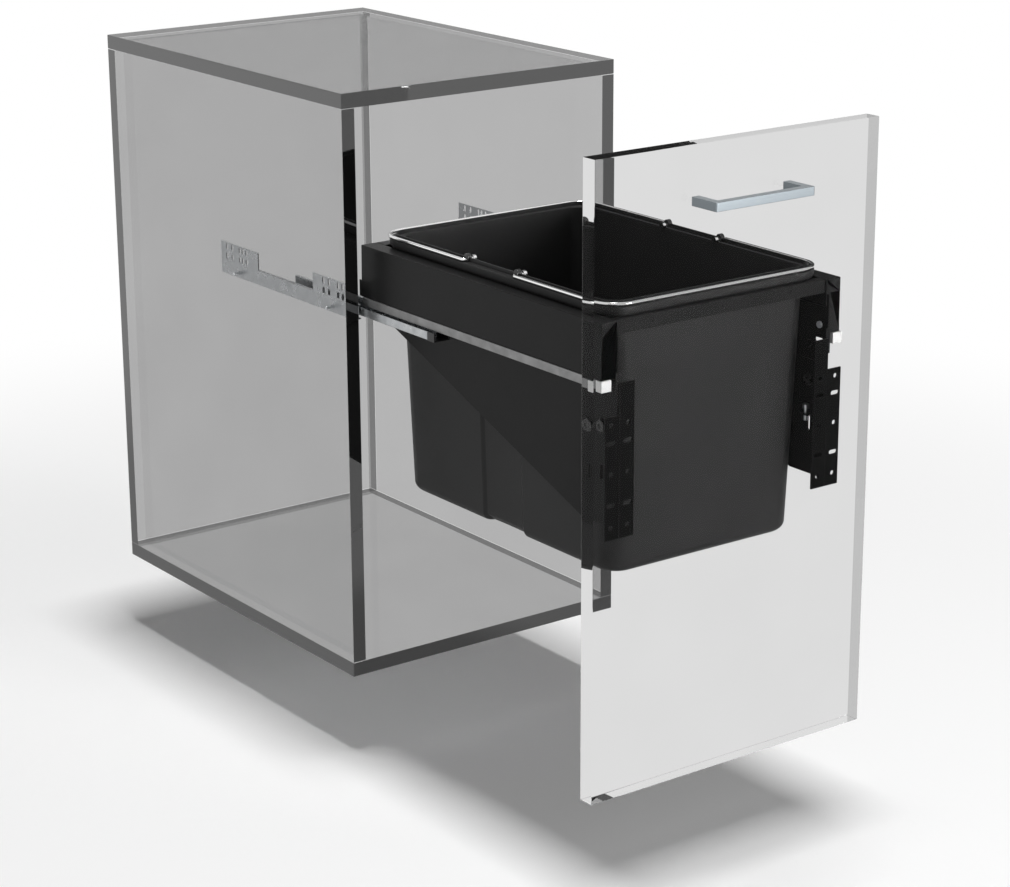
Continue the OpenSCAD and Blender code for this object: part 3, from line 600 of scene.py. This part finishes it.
for side in ("left", "right"):
    arris, bend = runnerSettings["arris"], runnerSettings["bend"]
    softened(side + "_cabinet_rail", "zinc", "zinc_rail", arris, bend, runnerSettings["narrowLeg"])
    softened(side + "_middle_rail", "slideZinc", "zinc_rail", arris, bend)
    softened(side + "_drawer_rail", "greyZinc", "grey_rail", arris, bend)
    softened(side + "_rail_cap", "cap", "white_plastic", runnerSettings["mouldedEdge"])
    softened(side + "_middle_stop", "clip", "black_plastic", runnerSettings["mouldedEdge"])
    softened(side + "_tilt_cam", "cam", "screw_zinc", arris)
    softened(side + "_height_screw", "screw", "screw_zinc", arris)
print("runners made")


# ---- Handle, wires and small fixings

fixingSettings = {"handleEdge": 0.5 * mm, "clipEdge": 0.5 * mm, "screwEdge": 0.3 * mm}

softened("handle", "aluminium", "satin_aluminium", fixingSettings["handleEdge"])
softened("bag_wire_clips", "clip", "black_plastic", fixingSettings["clipEdge"])
softened("bracket_bolts", "bolt", "screw_zinc", fixingSettings["screwEdge"])
softened("handle_screws", "clearScrew", "screw_zinc", fixingSettings["screwEdge"])
plainNodes = {  # these keep their own mesh
    "rail_screws": "screw",
    "left_outer_cage": "cage", "right_outer_cage": "cage",
    "left_inner_cage": "cage", "right_inner_cage": "cage",
    "left_outer_balls": "ball", "right_outer_balls": "ball",
    "left_inner_balls": "ball", "right_inner_balls": "ball",
    "front_bag_wire": "chrome", "rear_bag_wire": "chrome",
    "front_wire_caps": "chrome", "rear_wire_caps": "chrome",
}
for node, look in plainNodes.items():
    for slotNumber in range(len(nodes[node].material_slots)):
        nodes[node].material_slots[slotNumber].material = finishes[look]
print("small parts finished")


# ---- Stage: white floor a hand's breadth under the cabinet, and a white surround

stageSettings = {
    "drop": 100 * mm,
    "size": 24.0,
    "middle": (0, -0.2),
    "near": 0.8, "far": 2.0,  # the floor's paint fades to plain white between these distances
    "floor": "#F7F7F7",
    "mirrored": "#CCCCCC", "mirrorGlow": 0.35,  # what mirrors see: its paint, and the share of plain white
}


def makeFloor():
    s = stageSettings
    material, tree = emptyMaterial("paintedFloor")
    ray = addNode(tree, "LightPath")
    seen = addNode(tree, "Mix", {"data_type": "RGBA", 6: linear(s["floor"]), 7: linear(s["mirrored"])},
                   {"Factor": ray.outputs["Is Glossy Ray"]})
    paint = addNode(tree, "BsdfDiffuse", {}, {"Color": seen.outputs[2]})
    glow = addNode(tree, "Emission", {"Color": (1, 1, 1, 1), "Strength": 1.0})
    place = addNode(tree, "TexCoord").outputs["Object"]
    distance = addNode(tree, "VectorMath", {"operation": "LENGTH"}, {0: place}).outputs["Value"]
    fade = addNode(tree, "MapRange",
                   {"interpolation_type": "SMOOTHSTEP", "From Min": s["near"], "From Max": s["far"]},
                   {"Value": distance}).outputs["Result"]
    lifted = addNode(tree, "Math", {"operation": "MULTIPLY", 1: s["mirrorGlow"]},
                     {0: ray.outputs["Is Reflection Ray"]})
    # through the sheets the floor is white
    clear = addNode(tree, "Math", {"operation": "MAXIMUM"},
                    {0: lifted.outputs[0], 1: ray.outputs["Is Transmission Ray"]})
    white = addNode(tree, "Math", {"operation": "MAXIMUM"}, {0: fade, 1: clear.outputs[0]})
    mixed = addNode(tree, "MixShader",
                    links={0: white.outputs[0], 1: paint.outputs[0], 2: glow.outputs[0]})
    toOutput(tree, mixed.outputs[0])
    mesh = bpy.data.meshes.new("floor")
    h = s["size"] / 2
    mesh.from_pydata([(-h, -h, 0), (h, -h, 0), (h, h, 0), (-h, h, 0)], [], [(0, 1, 2, 3)])
    mesh.materials.append(material)
    floor = bpy.data.objects.new("floor", mesh)
    floor.location = (*s["middle"], cadBox[0][2] - s["drop"])
    bpy.context.scene.collection.objects.link(floor)


lightSettings = {
    "surround": 0.15,
    # a dark wall behind and to the right, seen only in what mirrors it: its strength, the way to it,
    # and the cosines between which it comes in
    "rearWall": 0.08, "wallWay": (0.6, 0.8, 0), "wallStarts": 0.35, "wallFull": 0.65,
    "softboxes": {
        "overhead": {"size": 1.2, "place": (0.05, -0.25, 7.0), "aim": (0, -0.25, 0), "power": 365},
        "front": {"size": 1.2, "place": (1.2, -3.8, 0.7), "aim": (0, -0.7, 0.4), "power": 64},
    },
}


def makeWorld():
    s = lightSettings
    world = bpy.data.worlds.new("surround")
    bpy.context.scene.world = world
    world.use_nodes = True
    tree = world.node_tree
    tree.nodes.clear()
    ray = addNode(tree, "LightPath")
    direction = addNode(tree, "TexCoord").outputs["Generated"]
    wallward = addNode(tree, "VectorMath", {"operation": "DOT_PRODUCT", 1: s["wallWay"]}, {0: direction})
    wall = addNode(tree, "MapRange",
                   {"From Min": s["wallStarts"], "From Max": s["wallFull"],
                    "To Min": 1.0, "To Max": s["rearWall"]},
                   {"Value": wallward.outputs["Value"]}).outputs["Result"]
    mirrored = addNode(tree, "Mix", {2: 1.0}, {"Factor": ray.outputs["Is Reflection Ray"], 3: wall})
    # light that has bounced off a dull surface counts for less than the white that is seen
    strength = addNode(tree, "Mix", {3: s["surround"]},
                       {"Factor": ray.outputs["Diffuse Depth"], 2: mirrored.outputs[0]})
    back = addNode(tree, "Background", {"Color": (1, 1, 1, 1)}, {"Strength": strength.outputs[0]})
    addNode(tree, "OutputWorld", links={"Surface": back.outputs[0]})


def makeSoftbox(name, s):
    data = bpy.data.lights.new(name, "AREA")
    data.size = s["size"]
    data.energy = s["power"]
    lamp = bpy.data.objects.new(name, data)
    lamp.location = s["place"]
    lamp.rotation_euler = (Vector(s["aim"]) - Vector(s["place"])).to_track_quat("-Z", "Y").to_euler()
    bpy.context.scene.collection.objects.link(lamp)


makeFloor()
makeWorld()
for name, settings in lightSettings["softboxes"].items():
    makeSoftbox(name, settings)
bpy.context.scene.view_settings.view_transform = "Standard"
print("stage and light set")
